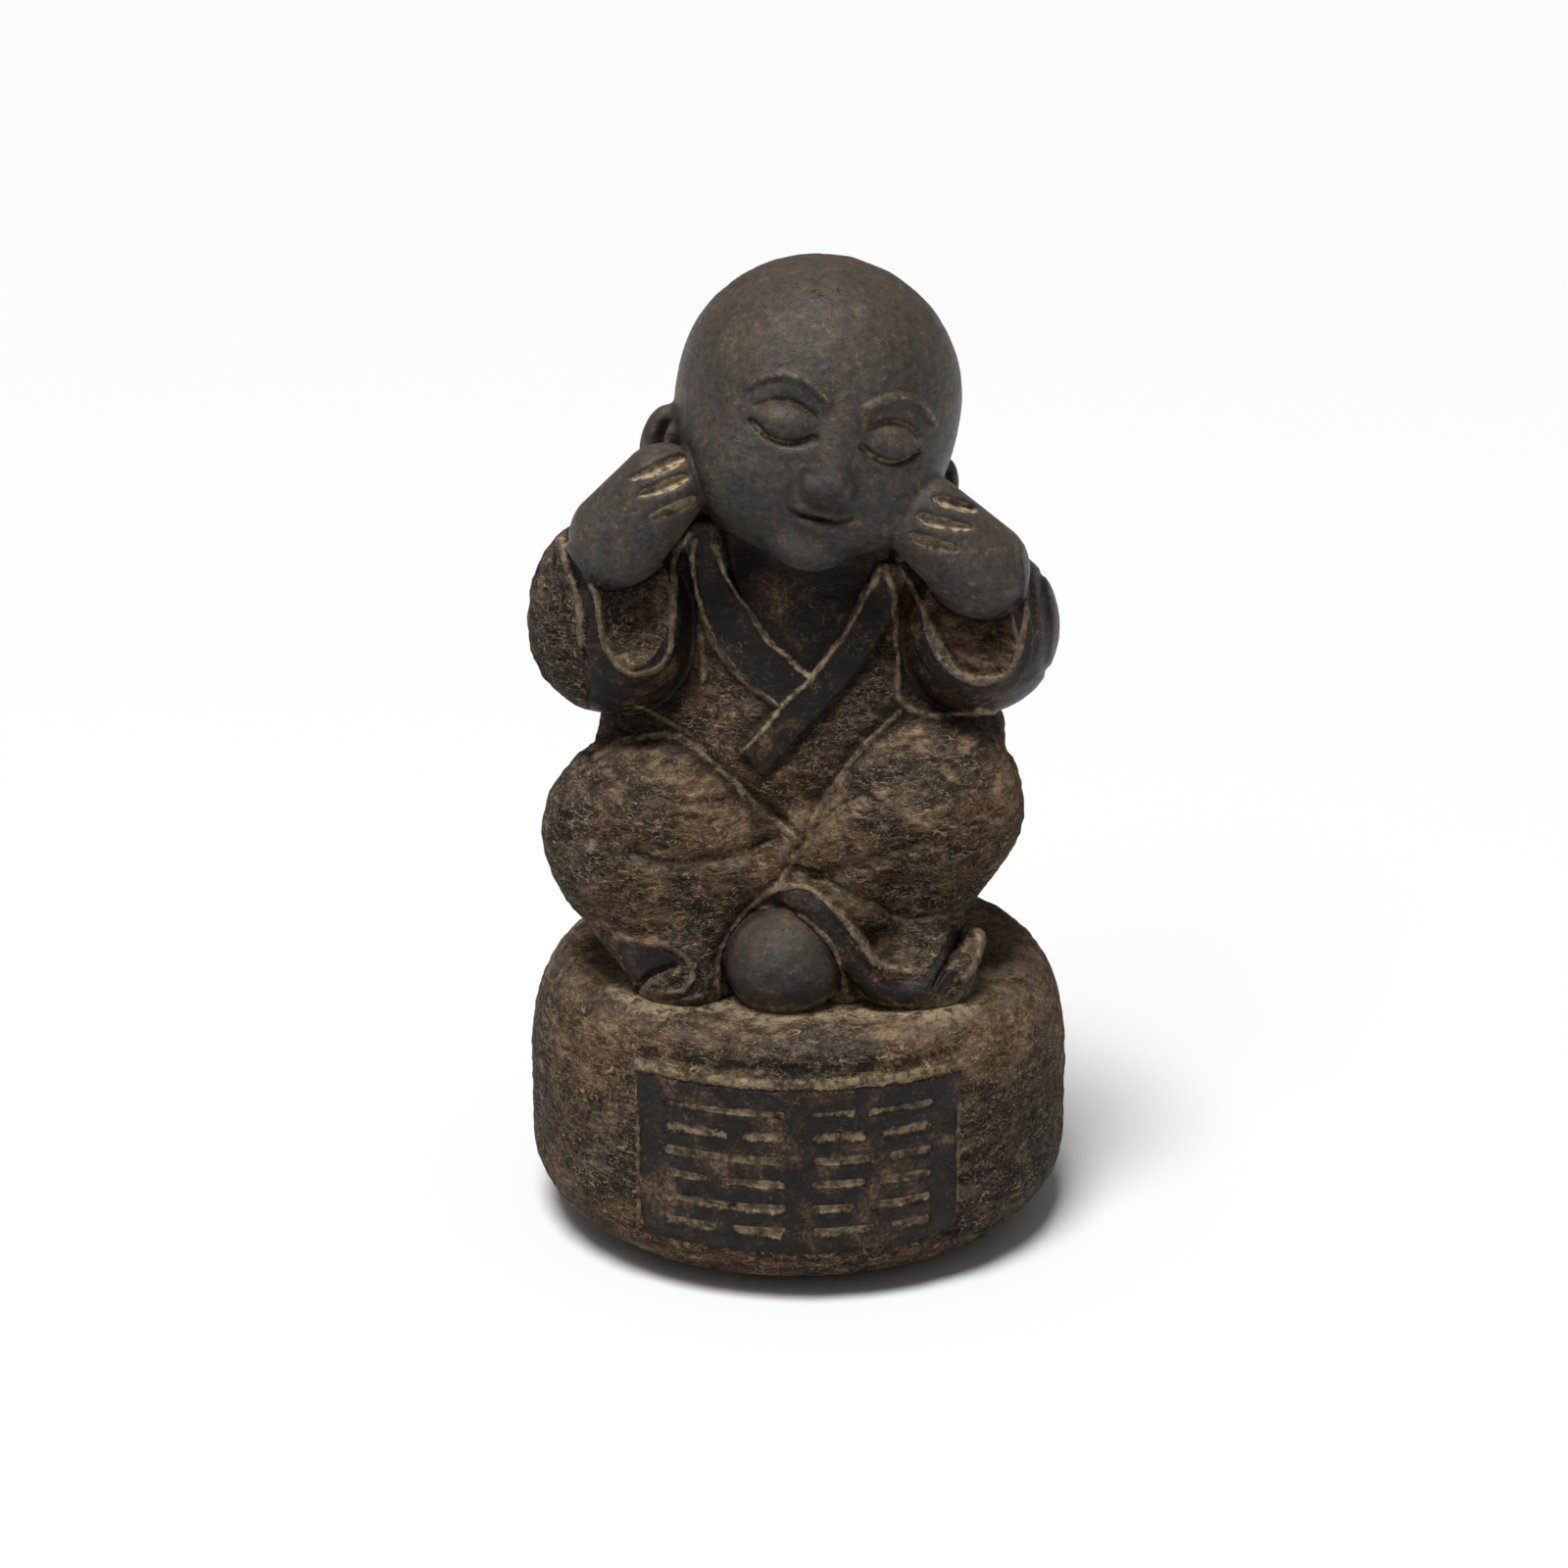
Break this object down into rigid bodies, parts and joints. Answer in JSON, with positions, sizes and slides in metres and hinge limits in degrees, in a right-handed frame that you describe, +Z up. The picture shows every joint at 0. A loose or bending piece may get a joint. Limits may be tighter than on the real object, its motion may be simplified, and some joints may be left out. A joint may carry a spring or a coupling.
{
  "type": "luohan statue",
  "caption": "Carved stone figure of a seated child monk with both hands over the ears, a ball at the feet, on a round drum plinth with a dressed front panel.",
  "frame": {"origin": "centre of the drum plinth's flat underside", "axes": "+Z up, the figure and the dressed panel face -Y, +X is the viewer's right"},
  "size_m": [0.2, 0.1988, 0.3634],
  "materials": {
    "stone": "dark brown-black basalt, rough pecked cloth and drum with tan dirt in the hollows, skin and bands rubbed smooth and satin"
  },
  "bodies": {
    "root": {"statue": "stone"}
  },
  "joints": []
}
